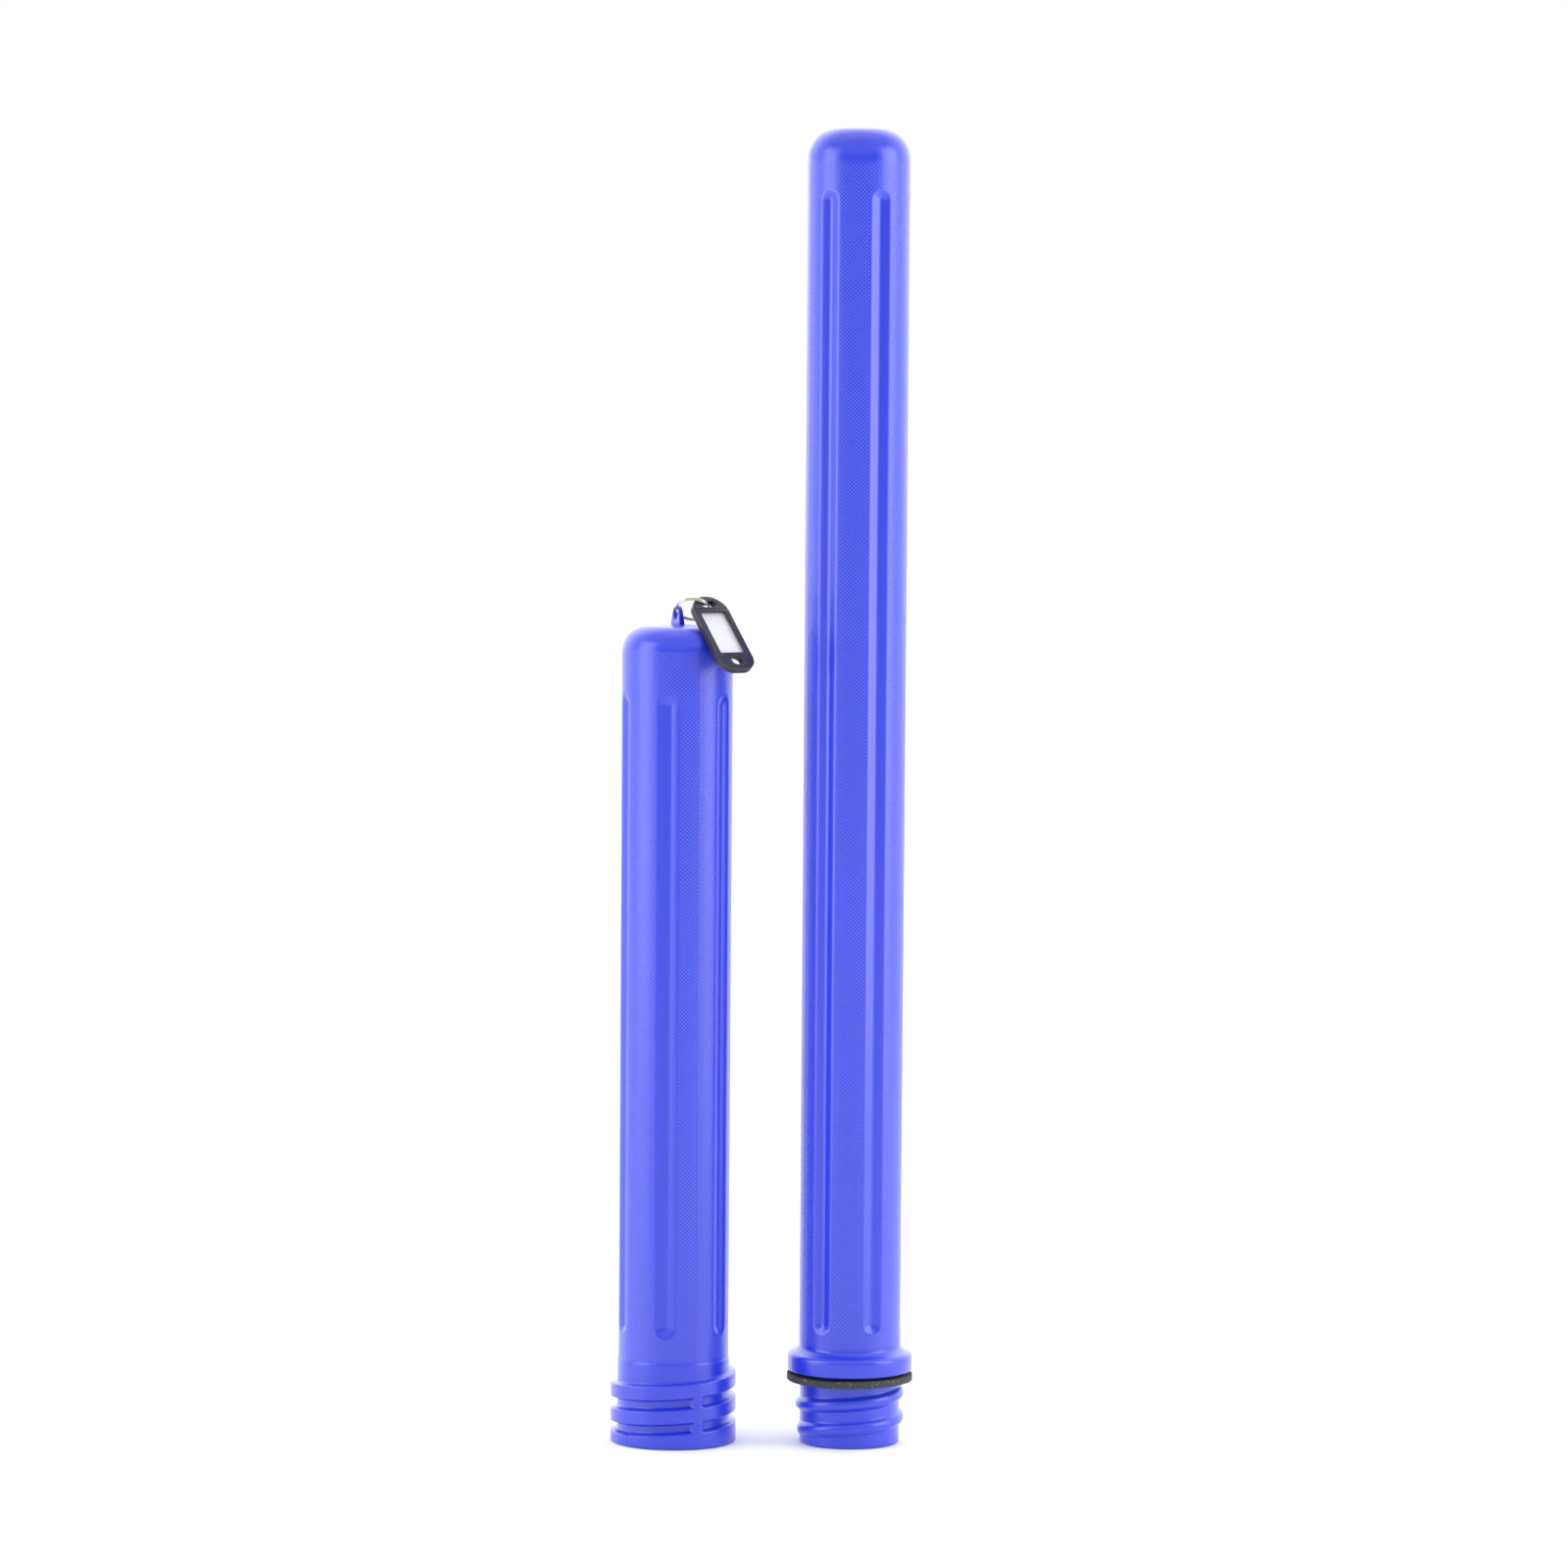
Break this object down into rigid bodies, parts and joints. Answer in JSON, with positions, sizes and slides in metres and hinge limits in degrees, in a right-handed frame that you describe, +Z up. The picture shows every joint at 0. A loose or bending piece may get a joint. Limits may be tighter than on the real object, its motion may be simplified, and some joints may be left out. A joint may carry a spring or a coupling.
{
  "type": "drawing tube",
  "caption": "Screw-together blow-moulded carrying tube for rolled drawings, standing open in its long and short halves, with a sealing ring and a hanging key tag.",
  "frame": {"origin": "bottom centre of the box round the whole set, on the surface that both halves stand on", "axes": "+Z up along both tubes, +X from the short half to the long half, -Y towards the viewer"},
  "size_m": [0.178, 0.0788, 0.772],
  "materials": {
    "blue_polyethylene": "blow-moulded, satin, fine raised-dot texture on the barrels",
    "black_rubber": "die-cut, matte, lightly speckled",
    "nickel_wire": "nickel-plated spring wire",
    "black_polystyrene": "injection-moulded, semi-gloss",
    "white_paper": "uncoated label card",
    "clear_sheet": "clear plastic window sheet"
  },
  "bodies": {
    "short_tube": {"short_tube": "blue_polyethylene"},
    "sealing_ring": {"sealing_ring": "black_rubber"},
    "long_tube": {"long_tube": "blue_polyethylene"},
    "split_ring": {"split_ring": "nickel_wire"},
    "tag": {"tag_back": "black_polystyrene", "label_card": "white_paper"},
    "tag_flap": {"tag_front": "black_polystyrene", "tag_window": "clear_sheet"}
  },
  "joints": [
    {"name": "tube_turnover", "type": "hinge", "parent": "short_tube", "child": "sealing_ring", "pos_m": [0.052, 0.00242, 0.386], "axis": [1, 0, 0], "range_deg": [0, 180]},
    {"name": "tube_turn", "type": "hinge", "parent": "sealing_ring", "child": "long_tube", "pos_m": [0.052, 0.00242, 0], "axis": [0, 0, 1], "continuous": true},
    {"name": "ring_swing", "type": "hinge", "parent": "short_tube", "child": "split_ring", "pos_m": [-0.052, 0.00242, 0.48816], "axis": [-0.4646, -0.6913, 0.5534], "range_deg": [0, 100]},
    {"name": "tag_swing", "type": "hinge", "parent": "split_ring", "child": "tag", "pos_m": [-0.03448, -0.00519, 0.49337], "axis": [-0.4646, -0.6913, 0.5534], "range_deg": [0, 60]},
    {"name": "tag_flap", "type": "hinge", "parent": "tag", "child": "tag_flap", "pos_m": [-0.03256, -0.00808, 0.49144], "axis": [-0.8331, -0.5531, 0], "range_deg": [0, 110]}
  ]
}
